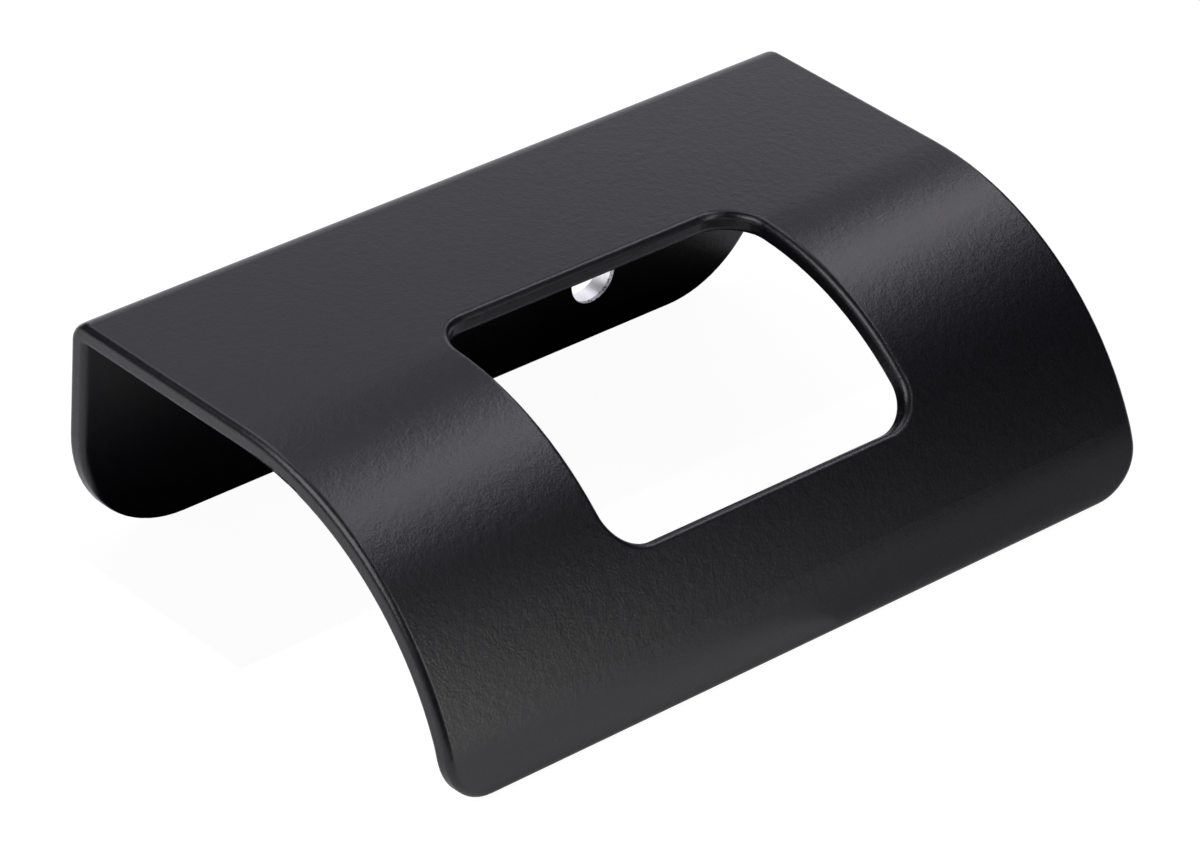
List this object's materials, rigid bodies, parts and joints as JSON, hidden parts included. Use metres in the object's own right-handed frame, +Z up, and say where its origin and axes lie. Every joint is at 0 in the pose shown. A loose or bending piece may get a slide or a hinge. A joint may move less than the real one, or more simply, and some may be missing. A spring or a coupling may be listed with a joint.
{
  "type": "furniture handle",
  "caption": "Bent sheet-metal furniture handle: flat top with a rectangular window, curved finger lip, and a flange that is screwed to the furniture.",
  "frame": {"origin": "midway between the two screw holes, on the outer face of the flange", "axes": "+Y out of the flange's outer face, away from the grip; +X along the handle's length; +Z up towards the flat top"},
  "size_m": [0.0694, 0.0428, 0.0198],
  "materials": {
    "powder_coat": "matt black powder coat with a fine texture"
  },
  "bodies": {
    "root": {"handle": "powder_coat"}
  },
  "joints": []
}
